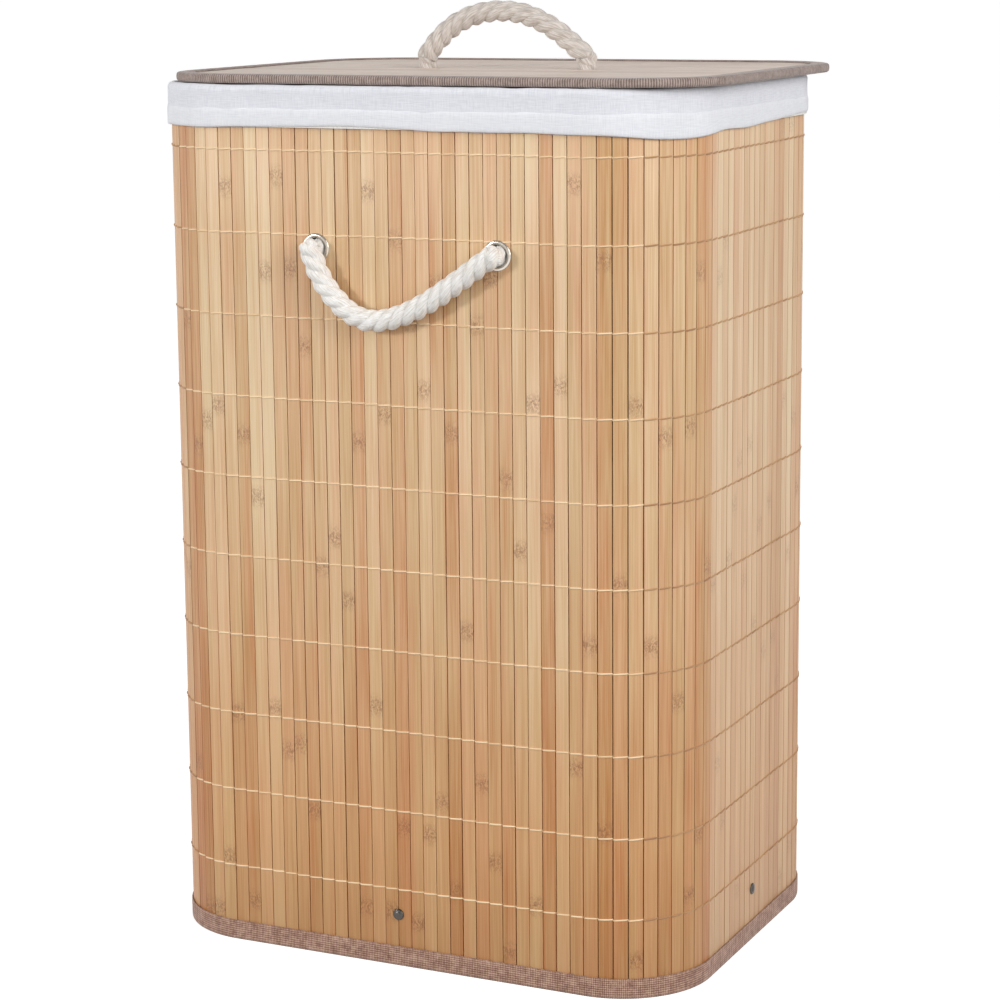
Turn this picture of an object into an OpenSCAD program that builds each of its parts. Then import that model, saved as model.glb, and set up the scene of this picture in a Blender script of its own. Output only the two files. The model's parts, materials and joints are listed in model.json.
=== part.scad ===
// Laundry hamper: a rounded bamboo-slat wall on a cloth backing, a cloth-covered
// base, a cotton liner bag, rope handles and a slatted lid on cloth hinge straps.
// Origin on the floor under the middle of the wall, +Z up, front towards -Y.

/* [Wall] */
// Width of the wall, side to side
body_w = 400; // [320:5:480]
// Depth of the wall, front to back
body_d = 300; // [240:5:360]
// Height of the bound rim above the floor
rim_h = 605; // [500:1:730]
// Outer radius of the wall's corners
corner_r = 65; // [50:1:80]

/* [Slats] */
// Thickness of one bamboo slat
slat_t = 2; // [1.5:0.1:3]
// Width of one slat with its gap, before it is fitted to the wall
slat_pitch = 10; // [8:0.5:14]
// Gap between two slats
slat_gap = 0.7; // [0.5:0.1:1.2]
// Thickness of the cloth glued to the back of the slats
backing_t = 1.2; // [0.6:0.1:2]
// Height of the lowest row of weaving thread
thread_first_z = 55; // [40:1:80]
// Height from one row of thread to the next
thread_step = 56.6; // [40:0.2:80]
// Thickness of the weaving thread
thread_d = 0.7; // [0.4:0.1:1]

/* [Edge binding] */
// Thickness of the binding tape
tape_t = 0.8; // [0.5:0.1:1.2]
// Visible width of the tape at the foot
foot_tape_h = 14; // [8:0.5:20]
// Diameter of the wire hoop in the rim
rim_wire_d = 3; // [2:0.5:4]

/* [Base] */
// Thickness of the base board
base_board_t = 3; // [2:0.5:6]
// Thickness of the cloth round the base board
base_cloth_t = 1; // [0.6:0.1:1.5]
// Width of a fastening tab
tab_w = 50; // [30:1:90]
// How far a tab reaches above its press stud
tab_over = 14; // [8:1:30]
// Height of the press studs
stud_z = 37; // [30:1:46]
// Diameter of a press stud's cap
stud_d = 8; // [6:0.5:12]

/* [Rope handles] */
// Diameter of the cotton rope
rope_d = 14.5; // [12:0.5:17.5]
// How far below the rim the carrying handles' eyelets are
handle_drop = 106; // [85:1:160]
// Distance between the two eyelets of a carrying handle
handle_span = 135; // [110:1:160]
// How far the front handle sits right of the middle
handle_shift = 7.5; // [0:0.5:15]
// Inner diameter of an eyelet
eyelet_bore = 14; // [11:0.5:17]
// Width of an eyelet's flange round its bore
eyelet_flange = 3; // [2:0.5:5]
// How far an eyelet's flange stands off the slats
eyelet_proud = 1.2; // [1:0.1:2]
// Diameter of the knot on a rope's end
knot_d = 28; // [23:1:34]

/* [Liner] */
// Thickness of the liner's cotton
liner_t = 1; // [0.6:0.1:1.5]
// Height of the cuff turned down outside the rim
cuff_h = 28; // [23:1:40]
// Height of the cuff's double hem
hem_h = 13; // [10:0.5:16]
// Room between the bag and the press studs behind it
bag_room = 2.8; // [1:0.1:8]

/* [Lid] */
// How much wider the lid is than the wall, on each side
lid_over = 5; // [4:0.5:12]
// How much tighter the lid's corners are than a true offset of the wall's
lid_corner_trim = 6; // [0:0.5:10]
// How far the lid sits right of the wall's middle
lid_shift_x = 10; // [0:1:12]
// Thickness of the lid's board
lid_board_t = 2.2; // [1.8:0.1:4]
// Thickness of the slats on the lid
lid_slat_t = 1.2; // [0.8:0.1:2]
// Thickness of the cloth under the lid
lid_lining_t = 0.6; // [0.4:0.1:1]
// Width of the binding on the lid's faces
lid_tape_w = 13; // [8:0.5:18]
// Distance between the lid handle's legs
lid_handle_span = 124; // [100:1:150]
// Width of a hinge strap
strap_w = 40; // [25:1:60]
// Thickness of a hinge strap
strap_t = 0.8; // [0.6:0.1:1.2]
// Distance of a hinge strap from the wall's corner
strap_inset = 5; // [2:1:40]
// How far a hinge strap reaches down below the cuff
strap_below = 34; // [25:1:50]

/* [Hidden] */
$fn = 64;

// Clearances: between layers, inside a fold, between bodies, and of a hole round what fills it.
laid_gap = 0.1;
snug_gap = 0.2;
free_gap = 0.3;
hole_gap = 0.3;

// The wall's layers, as distances out from the slats' face.
thread_in = 0.3;
backing_out = -slat_t - laid_gap;
backing_in = backing_out - backing_t;
inner_leaf_out = backing_in - hole_gap;
inner_leaf_in = inner_leaf_out - tape_t;
outer_leaf_in = 0.3;
outer_leaf_out = outer_leaf_in + tape_t;
cuff_in = outer_leaf_out + hole_gap;
cuff_out = cuff_in + liner_t;
hem_in = 0.5;
hem_out = cuff_out + 0.8;
elastic_in = hem_in + 1;
elastic_out = hem_out - 1;

// The wall's heights, from the floor up.
slat_z0 = tape_t + snug_gap;
wire_z = rim_h - tape_t - snug_gap - rim_wire_d / 2;
slat_z1 = wire_z - rim_wire_d / 2 - snug_gap;
liner_top = rim_h + snug_gap + liner_t;
cuff_z0 = liner_top - cuff_h;
hem_to_tape = 1.8;
rim_tape_z0 = cuff_z0 + hem_h + hem_to_tape;

// Slats, fitted to the flats and the corners.
flat_w = body_w - 2 * corner_r;
flat_d = body_d - 2 * corner_r;
front_count = round(flat_w / slat_pitch);
side_count = round(flat_d / slat_pitch);
corner_count = round(corner_r * PI / 2 / slat_pitch);
corner_step = 90 / corner_count;
thread_to_cuff = 10;
thread_rows = floor((cuff_z0 - thread_to_cuff - thread_first_z) / thread_step) + 1;
join_tape_w = 30;
join_tape_gap = 1;

// Base, inside the foot tape, and the press studs that hold its tabs to the wall.
base_out = inner_leaf_in - snug_gap;
base_h = base_board_t + 2 * base_cloth_t + 2 * laid_gap;
tab_in = base_out - base_cloth_t;
tab_h = stud_z + tab_over - base_h;
stud_x = -5;
stud_post_r = 1.5;
stud_hole_r = stud_post_r + snug_gap;
stud_rise = 1.8;
socket_r = 5;
socket_t = 2;
bag_out = tab_in - laid_gap - socket_t - bag_room;
bag_in = bag_out - liner_t;

// Carrying handles: each loop turns about the rope's middle, just outside its eyelets.
handle_z = rim_h - handle_drop;
eyelet_d = eyelet_bore + 2 * eyelet_flange;
rope_r = rope_d / 2;
pivot_out = eyelet_proud + free_gap + rope_r;
eyelet_wall = 0.6;
eyelet_hole_r = eyelet_bore / 2 + eyelet_wall + hole_gap;
washer_t = 0.8;
washer_out = backing_in - laid_gap;
washer_in = washer_out - washer_t;
stub_r = eyelet_bore / 2 - hole_gap;
knot_in = -washer_in + hole_gap + knot_d / 2;
rope_sides = 12;
// How far round towards each tip the rings of a rope's round ends stand, in degrees.
rope_end_turns = [22, 45, 70];
// The hanging loop's middle line, as shares of its span and rises from its eyelets.
hanging_route = [
    [0, 0], [0.02, -7], [0.045, -15], [0.09, -25], [0.15, -34], [0.215, -41], [0.295, -45.5],
    [0.38, -46], [0.465, -43.5], [0.57, -38], [0.69, -29], [0.81, -18], [0.91, -8.5], [1, 0]
];
// The standing loop's middle line, as shares of its span and rises from its turning line.
standing_route = [
    [0, 0], [0.02, 4.5], [0.055, 9.5], [0.12, 17.5], [0.21, 25], [0.33, 30.5], [0.46, 32.5],
    [0.59, 31], [0.71, 26], [0.82, 18.5], [0.91, 10], [0.96, 5], [1, 0]
];

// Liner.
liner_floor_z = base_h + hole_gap;
bag_z0 = liner_floor_z + liner_t + laid_gap;
knot_room = 0.5;
bulge_r = knot_d / 2 + knot_room;

// Lid, from its underside up. Its front edge lies over the front of the wall.
strap_lip_z = liner_top + free_gap;
strap_leaf_z = strap_lip_z + strap_t + free_gap;
lid_z0 = strap_leaf_z + strap_t + snug_gap;
lid_lining_z = lid_z0 + tape_t + laid_gap;
lid_board_z = lid_lining_z + lid_lining_t + laid_gap;
lid_slat_z = lid_board_z + lid_board_t + laid_gap;
lid_top = lid_slat_z + lid_slat_t;
lid_z1 = lid_top + laid_gap + tape_t;
lid_w = body_w + 2 * lid_over;
lid_d = body_d + 2 * lid_over;
lid_r = corner_r + lid_over - lid_corner_trim;
lid_shift_y = lid_over;
lid_edge = tape_t + snug_gap;
lid_slat_count = round((lid_d - 2 * lid_edge) / slat_pitch);
lid_pitch = (lid_d - 2 * lid_edge) / lid_slat_count;
lid_pivot_z = lid_top + free_gap + rope_r;
lid_knot_z = lid_lining_z - hole_gap - knot_d / 2;
lid_hole_r = stub_r + hole_gap;

// Hinge straps. The lid turns about its rear lower edge, where the straps fold.
hinge_y = body_d / 2 + 2 * lid_shift_y;
strap_low_in = outer_leaf_out + snug_gap;
strap_in = hem_out + hole_gap;
strap_x = flat_w / 2 - strap_inset - strap_w / 2;
strap_z0 = cuff_z0 - strap_below;
strap_stud_up = 10;
strap_stud_z = strap_z0 + strap_stud_up;
jog_gap = 0.5;
strap_jog_z = cuff_z0 - jog_gap - strap_t;
fold_gap = 2;
lid_leaf_l = 35;

// Rounded rectangle about the origin.
module rounded_plate(w, d, r) {
    square([w - 2 * r, d], center = true);
    square([w, d - 2 * r], center = true);
    for (x = [-1, 1], y = [-1, 1])
        translate([x * (w / 2 - r), y * (d / 2 - r)]) circle(r = r);
}

// The wall's outline, moved out from the slats' face.
module wall_outline(out) {
    rounded_plate(body_w + 2 * out, body_d + 2 * out, corner_r + out);
}

// Sheet that stands along the wall, between two distances out from the slats' face.
module wall_sheet(inside, outside, z0, z1) {
    translate([0, 0, z0]) linear_extrude(z1 - z0) difference() {
        wall_outline(outside);
        wall_outline(inside);
    }
}

// Flat plate with the wall's outline.
module wall_plate(out, z0, z1) {
    translate([0, 0, z0]) linear_extrude(z1 - z0) wall_outline(out);
}

// Flat plate with the lid's outline, moved in from its edge.
module lid_plate(inset, z0, z1) {
    translate([lid_shift_x, lid_shift_y, z0]) linear_extrude(z1 - z0)
        rounded_plate(lid_w - 2 * inset, lid_d - 2 * inset, lid_r - inset);
}

// These put what is made for a wall along X, with its face at y = 0, on one of the walls.
module on_front() {
    translate([0, -body_d / 2, 0]) children();
}

module on_back() {
    rotate([0, 0, 180]) on_front() children();
}

module on_right() {
    rotate([0, 0, 90]) translate([0, -body_w / 2, 0]) children();
}

module on_left() {
    rotate([0, 0, -90]) translate([0, -body_w / 2, 0]) children();
}

// Disc or rod square to the wall, from one distance out from its face to another.
module wall_rod(x, z, r, inside, outside) {
    translate([x, -outside, z]) rotate([-90, 0, 0]) cylinder(r = r, h = outside - inside);
}

// Ring square to the wall.
module wall_ring(r_in, r_out, inside, outside) {
    difference() {
        wall_rod(0, 0, r_out, inside, outside);
        wall_rod(0, 0, r_in, inside - 1, outside + 1);
    }
}

module at_eyelets() {
    for (side = [-1, 1])
        translate([handle_shift + side * handle_span / 2, 0, handle_z]) children();
}

module at_straps() {
    for (side = [-1, 1]) translate([side * strap_x, 0, 0]) children();
}

// One press stud on the middle of each wall.
module on_stud_walls() {
    on_front() translate([stud_x, 0, stud_z]) children();
    on_back() translate([stud_x, 0, stud_z]) children();
    on_right() translate([0, 0, stud_z]) children();
    on_left() translate([0, 0, stud_z]) children();
}

module stud_hole() {
    wall_rod(0, 0, stud_hole_r, bag_out, outer_leaf_out);
}

// Every hole that passes through the wall.
module wall_holes() {
    on_front() at_eyelets() wall_rod(0, 0, eyelet_hole_r, bag_out, outer_leaf_out);
    on_back() at_eyelets() wall_rod(0, 0, eyelet_hole_r, bag_out, outer_leaf_out);
    on_stud_walls() stud_hole();
    on_back() at_straps() translate([0, 0, strap_stud_z]) stud_hole();
}

// Upright slats side by side, set into a wall along X.
module slat_row(count, length) {
    pitch = length / count;
    for (i = [0 : count - 1])
        translate([-length / 2 + i * pitch + slat_gap / 2, 0, slat_z0])
            cube([pitch - slat_gap, slat_t, slat_z1 - slat_z0]);
}

// Domed cap on the outside, with its post through the wall.
module press_stud(face, post_in) {
    dome_r = (pow(stud_d / 2, 2) + pow(stud_rise, 2)) / (2 * stud_rise);
    wall_rod(0, 0, stud_post_r, post_in, face + 0.5);
    intersection() {
        translate([0, dome_r - stud_rise - face, 0]) sphere(r = dome_r);
        wall_rod(0, 0, stud_d, face, face + stud_rise + 1);
    }
}

// Rope along a route in the XZ plane, with round ends.
module rope(route, span) {
    line = [for (p = route) [p[0] * span, 0, p[1]]];
    last = len(line) - 1;
    ahead = [for (i = [0 : last]) unit(line[min(i + 1, last)] - line[max(i - 1, 0)])];
    turns = rope_end_turns;
    rings = concat(
        [for (i = [len(turns) - 1 : -1 : 0]) rope_tip_ring(line[0], -ahead[0], ahead[0], turns[i])],
        [for (i = [0 : last]) rope_ring(line[i], ahead[i], 1)],
        [for (t = turns) rope_tip_ring(line[last], ahead[last], ahead[last], t)]
    );
    n = rope_sides;
    top = len(rings) - 1;
    polyhedron(
        points = [for (ring = rings) each ring],
        faces = concat(
            [[for (k = [0 : n - 1]) k]],
            [for (j = [0 : top - 1], k = [0 : n - 1])
                [j * n + k, (j + 1) * n + k, (j + 1) * n + (k + 1) % n, j * n + (k + 1) % n]],
            [[for (k = [n - 1 : -1 : 0]) top * n + k]]
        )
    );
}

function unit(v) = v / norm(v);

function rope_ring(middle, ahead, share) =
    [for (k = [0 : rope_sides - 1])
        middle + rope_r * share * (cos(k * 360 / rope_sides) * [-ahead[2], 0, ahead[0]]
            + [0, sin(k * 360 / rope_sides), 0])];

// Ring of a round end, on its way from the last full ring out to the tip.
function rope_tip_ring(middle, outward, ahead, turn) =
    rope_ring(middle + outward * rope_r * sin(turn), ahead, cos(turn));

// Knotted rope ends inside a wall, with the stubs that pass out through the eyelets.
module wall_knots() {
    at_eyelets() {
        wall_rod(0, 0, stub_r, -knot_in, eyelet_proud - 0.2);
        translate([0, knot_in, 0]) sphere(r = knot_d / 2);
    }
}

module eyelets() {
    at_eyelets() {
        wall_ring(eyelet_bore / 2, eyelet_d / 2, laid_gap, eyelet_proud);
        wall_ring(eyelet_bore / 2, eyelet_bore / 2 + eyelet_wall, washer_in, laid_gap);
    }
}

module washers() {
    at_eyelets()
        wall_ring(eyelet_bore / 2 + eyelet_wall + laid_gap, eyelet_d / 2, washer_in, washer_out);
}

module wall_backing() {
    color("tan") difference() {
        wall_sheet(backing_in, backing_out, slat_z0, slat_z1);
        wall_holes();
    }
}

module front_slats() {
    color("burlywood") difference() {
        on_front() slat_row(front_count, flat_w);
        wall_holes();
    }
}

module back_slats() {
    color("burlywood") difference() {
        on_back() slat_row(front_count, flat_w);
        wall_holes();
    }
}

module left_slats() {
    color("wheat") difference() {
        on_left() slat_row(side_count, flat_d);
        wall_holes();
    }
}

module right_slats() {
    color("wheat") difference() {
        on_right() slat_row(side_count, flat_d);
        wall_holes();
    }
}

module corner_slats() {
    width = corner_r * corner_step * PI / 180 - slat_gap;
    color("peru")
        for (quarter = [0 : 3], i = [0 : corner_count - 1])
            translate([
                (quarter == 0 || quarter == 3 ? 1 : -1) * flat_w / 2,
                (quarter < 2 ? 1 : -1) * flat_d / 2,
                slat_z0
            ])
                rotate([0, 0, quarter * 90 + (i + 0.5) * corner_step])
                    translate([corner_r - slat_t, -width / 2, 0])
                        cube([slat_t, width, slat_z1 - slat_z0]);
}

// One hoop of thread for each row, parted where the eyelets' flanges lie over it.
module weave_threads() {
    color("ivory") difference() {
        for (row = [0 : thread_rows - 1])
            wall_sheet(thread_in, thread_in + thread_d,
                thread_first_z + row * thread_step - thread_d / 2,
                thread_first_z + row * thread_step + thread_d / 2);
        on_front() at_eyelets() wall_rod(0, 0, eyelet_d / 2 + hole_gap, -1, eyelet_proud + 1);
        on_back() at_eyelets() wall_rod(0, 0, eyelet_d / 2 + hole_gap, -1, eyelet_proud + 1);
        wall_holes();
    }
}

// Strip over the seam where the two ends of the slat mat meet, inside the back.
module wall_join_tape() {
    color("rosybrown") difference() {
        on_back() translate([-join_tape_w / 2, -washer_out, foot_tape_h + join_tape_gap])
            cube([join_tape_w, tape_t, rim_tape_z0 - foot_tape_h - 2 * join_tape_gap]);
        wall_holes();
    }
}

module foot_tape() {
    color("rosybrown") difference() {
        wall_sheet(inner_leaf_in, outer_leaf_out, 0, foot_tape_h);
        wall_sheet(inner_leaf_out, outer_leaf_in, tape_t, foot_tape_h + 1);
    }
}

module rim_tape() {
    color("rosybrown") difference() {
        wall_sheet(inner_leaf_in, outer_leaf_out, rim_tape_z0, rim_h);
        wall_sheet(inner_leaf_out, outer_leaf_in, rim_tape_z0 - 1, rim_h - tape_t);
    }
}

// Round wire hoop on top of the slats, inside the fold of the rim's tape.
module rim_wire() {
    middle = -(slat_t + backing_t) / 2;
    bend_r = corner_r + middle;
    color("gray") translate([0, 0, wire_z]) {
        for (quarter = [0 : 3])
            translate([
                (quarter == 0 || quarter == 3 ? 1 : -1) * flat_w / 2,
                (quarter < 2 ? 1 : -1) * flat_d / 2,
                0
            ])
                rotate([0, 0, quarter * 90]) rotate_extrude(angle = 90)
                    translate([bend_r, 0]) circle(r = rim_wire_d / 2);
        for (side = [-1, 1]) {
            translate([-flat_w / 2, side * (body_d / 2 + middle), 0]) rotate([0, 90, 0])
                cylinder(r = rim_wire_d / 2, h = flat_w);
            translate([side * (body_w / 2 + middle), -flat_d / 2, 0]) rotate([-90, 0, 0])
                cylinder(r = rim_wire_d / 2, h = flat_d);
        }
    }
}

module base_board() {
    color("saddlebrown")
        wall_plate(base_out - base_cloth_t - laid_gap, base_cloth_t + laid_gap,
            base_cloth_t + laid_gap + base_board_t);
}

// Cloth sewn round the base board.
module base_cover() {
    color("dimgray") difference() {
        wall_plate(base_out, 0, base_h);
        wall_plate(base_out - base_cloth_t, base_cloth_t, base_h - base_cloth_t);
    }
}

// Cloth tabs that stand up from the base against the inside of each wall.
module base_tabs() {
    color("dimgray") difference() {
        union() {
            on_front() base_tab(stud_x);
            on_back() base_tab(stud_x);
            on_right() base_tab(0);
            on_left() base_tab(0);
        }
        wall_holes();
    }
}

module base_tab(x) {
    translate([x - tab_w / 2, -base_out, base_h]) cube([tab_w, base_cloth_t, tab_h]);
}

module stud_caps() {
    color("silver") on_stud_walls() press_stud(laid_gap, tab_in - socket_t);
}

module stud_sockets() {
    color("silver") {
        on_stud_walls()
            wall_ring(stud_post_r + laid_gap, socket_r, tab_in - laid_gap - socket_t, tab_in - laid_gap);
        on_back() at_straps() translate([0, 0, strap_stud_z])
            wall_ring(stud_post_r + laid_gap, socket_r, washer_out - socket_t, washer_out);
    }
}

module front_eyelets() {
    color("silver") on_front() eyelets();
}

module back_eyelets() {
    color("silver") on_back() eyelets();
}

module eyelet_washers() {
    color("silver") {
        on_front() washers();
        on_back() washers();
    }
}

module front_knots() {
    color("ivory") on_front() wall_knots();
}

module back_knots() {
    color("ivory") on_back() wall_knots();
}

module hanging_rope() {
    translate([handle_shift - handle_span / 2, -pivot_out, handle_z])
        rope(hanging_route, handle_span);
}

module front_rope() {
    color("ivory") on_front() hanging_rope();
}

module back_rope() {
    color("ivory") on_back() hanging_rope();
}

// Bag wall that hangs inside, turned over the rim into a cuff. It gives way round the knots.
module liner_bag() {
    color("white") difference() {
        union() {
            wall_sheet(bag_in, bag_out, bag_z0, liner_top);
            wall_sheet(bag_in, cuff_out, liner_top - liner_t, liner_top);
            wall_sheet(cuff_in, cuff_out, cuff_z0 + hem_h, liner_top);
            on_front() knot_bulges();
            on_back() knot_bulges();
        }
        on_front() at_eyelets() translate([0, knot_in, 0]) sphere(r = bulge_r);
        on_back() at_eyelets() translate([0, knot_in, 0]) sphere(r = bulge_r);
    }
}

module knot_bulges() {
    reach = bulge_r + liner_t;
    at_eyelets() intersection() {
        translate([0, knot_in, 0]) sphere(r = reach);
        translate([-reach, -bag_out, -reach]) cube(2 * reach);
    }
}

module liner_floor() {
    color("white") wall_plate(bag_out, liner_floor_z, liner_floor_z + liner_t);
}

// Double hem along the cuff's lower edge, hollow for the elastic.
module liner_hem() {
    color("white") difference() {
        wall_sheet(hem_in, hem_out, cuff_z0, cuff_z0 + hem_h);
        wall_sheet(elastic_in - 0.2, elastic_out + 0.2, cuff_z0 + 1.3, cuff_z0 + hem_h - 1.3);
    }
}

module liner_elastic() {
    color("whitesmoke")
        wall_sheet(elastic_in, elastic_out, cuff_z0 + 1.5, cuff_z0 + hem_h - 1.5);
}

module at_lid_legs() {
    for (side = [-1, 1])
        translate([lid_shift_x + side * lid_handle_span / 2, lid_shift_y, 0]) children();
}

module lid_leg_holes() {
    at_lid_legs() translate([0, 0, lid_z0]) cylinder(r = lid_hole_r, h = lid_z1 - lid_z0);
}

module lid_board() {
    color("saddlebrown") difference() {
        lid_plate(lid_edge, lid_board_z, lid_board_z + lid_board_t);
        lid_leg_holes();
    }
}

// Slats glued across the top of the board, from side to side.
module lid_slats() {
    color("tan") difference() {
        intersection() {
            lid_plate(lid_edge, lid_slat_z, lid_top);
            for (i = [0 : lid_slat_count - 1])
                translate([
                    lid_shift_x - lid_w / 2,
                    lid_shift_y - lid_d / 2 + lid_edge + i * lid_pitch + slat_gap / 2,
                    lid_slat_z
                ])
                    cube([lid_w, lid_pitch - slat_gap, lid_slat_t]);
        }
        lid_leg_holes();
    }
}

module lid_lining() {
    color("dimgray") difference() {
        lid_plate(lid_edge, lid_lining_z, lid_lining_z + lid_lining_t);
        lid_leg_holes();
    }
}

// Tape folded round the lid's edge and sewn through.
module lid_tape() {
    color("rosybrown") difference() {
        lid_plate(0, lid_z0, lid_z1);
        lid_plate(tape_t, lid_z0 + tape_t, lid_z1 - tape_t);
        lid_plate(lid_tape_w, lid_z0 - 1, lid_z1 + 1);
    }
}

module lid_knots() {
    color("ivory") at_lid_legs() {
        translate([0, 0, lid_knot_z]) cylinder(r = stub_r, h = lid_top - lid_knot_z);
        translate([0, 0, lid_knot_z]) sphere(r = knot_d / 2);
    }
}

module lid_rope() {
    color("ivory")
        translate([lid_shift_x - lid_handle_span / 2, lid_shift_y, lid_pivot_z])
            rope(standing_route, lid_handle_span);
}

module lid_straps() {
    color("rosybrown") at_straps()
        translate([-strap_w / 2, hinge_y - free_gap - lid_leaf_l, strap_leaf_z])
            cube([strap_w, lid_leaf_l, strap_t]);
}

// Straps up the outside of the back: studded to the wall, out round the hem, up to the fold.
module wall_straps() {
    up = strap_lip_z + strap_t;
    color("rosybrown") difference() {
        at_straps() translate([-strap_w / 2, body_d / 2, 0]) {
            translate([0, strap_low_in, strap_z0])
                cube([strap_w, strap_t, strap_jog_z + strap_t - strap_z0]);
            translate([0, strap_low_in, strap_jog_z])
                cube([strap_w, strap_in + strap_t - strap_low_in, strap_t]);
            translate([0, strap_in, strap_jog_z]) cube([strap_w, strap_t, up - strap_jog_z]);
            translate([0, strap_in, strap_lip_z])
                cube([strap_w, hinge_y - body_d / 2 - fold_gap - strap_in, strap_t]);
        }
        on_back() at_straps() translate([0, 0, strap_stud_z])
            wall_rod(0, 0, stud_hole_r, -1, strap_low_in + strap_t + 1);
    }
}

module strap_studs() {
    color("silver") on_back() at_straps() translate([0, 0, strap_stud_z])
        press_stud(strap_low_in + strap_t + laid_gap, washer_out - socket_t + laid_gap);
}

wall_backing();
front_slats();
back_slats();
left_slats();
right_slats();
corner_slats();
weave_threads();
wall_join_tape();
foot_tape();
rim_tape();
rim_wire();
base_board();
base_cover();
base_tabs();
stud_caps();
stud_sockets();
front_eyelets();
back_eyelets();
eyelet_washers();
front_knots();
back_knots();
front_rope();
back_rope();
liner_bag();
liner_floor();
liner_hem();
liner_elastic();
lid_board();
lid_slats();
lid_lining();
lid_tape();
lid_knots();
lid_rope();
lid_straps();
wall_straps();
strap_studs();
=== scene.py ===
"""Laundry hamper with a lid: bamboo slats on a cloth backing, bound edges, a cotton liner,
twisted rope handles and a slatted lid on cloth hinge straps. Metres, Z up, front at -Y."""
import bpy
import json
import math
import random
from mathutils import Matrix, Vector, geometry, noise


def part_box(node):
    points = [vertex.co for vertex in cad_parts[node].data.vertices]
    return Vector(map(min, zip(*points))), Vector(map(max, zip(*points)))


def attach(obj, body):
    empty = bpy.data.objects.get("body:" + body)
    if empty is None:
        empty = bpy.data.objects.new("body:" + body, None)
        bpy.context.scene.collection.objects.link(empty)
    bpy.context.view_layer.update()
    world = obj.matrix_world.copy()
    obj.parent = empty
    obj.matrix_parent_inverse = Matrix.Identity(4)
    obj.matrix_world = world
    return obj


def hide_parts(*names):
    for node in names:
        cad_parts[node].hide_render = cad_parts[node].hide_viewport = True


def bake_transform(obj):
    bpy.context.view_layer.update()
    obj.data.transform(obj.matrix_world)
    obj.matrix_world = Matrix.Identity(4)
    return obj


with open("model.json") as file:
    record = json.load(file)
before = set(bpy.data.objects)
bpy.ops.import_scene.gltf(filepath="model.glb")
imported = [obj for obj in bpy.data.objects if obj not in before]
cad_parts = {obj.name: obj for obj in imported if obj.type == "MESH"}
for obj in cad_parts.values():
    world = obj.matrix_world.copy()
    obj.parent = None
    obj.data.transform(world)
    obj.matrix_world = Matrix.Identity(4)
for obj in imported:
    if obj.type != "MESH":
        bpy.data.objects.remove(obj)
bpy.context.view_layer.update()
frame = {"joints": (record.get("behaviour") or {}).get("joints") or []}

mm = 0.001


# Studio: a long lens stands to the front right, a little above the rim, over a pale matt
# floor. One soft box stands at the front left, a weak one beside the left edge, and a large
# one lights the right-hand wall.
def add_node(material, kind, sockets, stops=(), **settings):
    """Adds a node with its settings, and gives each socket its value or its link."""
    tree = material.node_tree
    node = tree.nodes.new(kind)
    for key, value in settings.items():
        setattr(node, key, value)
    for key, value in sockets.items():
        if isinstance(value, bpy.types.NodeSocket):
            tree.links.new(value, node.inputs[key])
        else:
            node.inputs[key].default_value = value
    for i, (place, code) in enumerate(stops):
        # A colour ramp starts with two stops.
        ramp = node.color_ramp.elements
        stop = ramp[i] if i < 2 else ramp.new(place)
        stop.position = place
        stop.color = paint(code)
    return node


def paint(code):
    """An sRGB hex colour as linear red, green, blue and alpha."""
    parts = [int(code[i:i + 2], 16) / 255 for i in (1, 3, 5)]
    return [p / 12.92 if p <= 0.04045 else ((p + 0.055) / 1.055) ** 2.4 for p in parts] + [1]


def new_material(name, **values):
    """A material and its shader, with the shader's own sockets set by name."""
    material = bpy.data.materials.new(name)
    material.use_nodes = True
    shader = material.node_tree.nodes["Principled BSDF"]
    for key, value in values.items():
        shader.inputs[key.replace("_", " ")].default_value = value
    return material, shader


def link(material, output, socket):
    """Links a node's output to a socket of the material's shader or node."""
    material.node_tree.links.new(output, socket)


def deselect():
    """Leaves nothing selected, so that an operator acts on its own piece only."""
    for other in bpy.context.selected_objects:
        other.select_set(False)


def select_only(piece):
    """Makes one piece the only one that operators act on."""
    deselect()
    piece.select_set(True)
    bpy.context.view_layer.objects.active = piece


camera_spot = (0.843, -1.7761, 0.6928)
camera_turn, camera_rise, camera_roll = 25.675, 9.759, -0.551
camera_data = bpy.data.cameras.new("long_lens")
camera_data.lens = 99.44
camera_data.sensor_width = 36
camera_data.shift_x = 0.02
camera_data.shift_y = -0.07
camera_data.clip_end = 200
camera = bpy.data.objects.new("long_lens", camera_data)
bpy.context.scene.collection.objects.link(camera)
camera.matrix_world = (
    Matrix.Translation(camera_spot)
    @ Matrix.Rotation(math.radians(camera_turn), 4, "Z")
    @ Matrix.Rotation(math.radians(90 - camera_rise), 4, "X")
    @ Matrix.Rotation(math.radians(camera_roll), 4, "Z")
)
bpy.context.scene.camera = camera
bpy.context.scene.view_settings.view_transform = "Standard"

deselect()
bpy.ops.mesh.primitive_circle_add(vertices=96, radius=60, fill_type="NGON")
floor = bpy.context.object
floor.name = "studio_floor"
# Matt white paint: no gloss, and it glows a little, so that it fades into the white wall.
floor_paint, floor_shader = new_material("matt_white_paint", Roughness=0.9)
floor_shader.inputs["Base Color"].default_value = paint("#C8C8C8")
floor_shader.inputs["Emission Color"].default_value = paint("#FFFFFF")
floor_shader.inputs["Emission Strength"].default_value = 0.75
floor.data.materials.append(floor_paint)
floor.visible_diffuse = False

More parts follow.
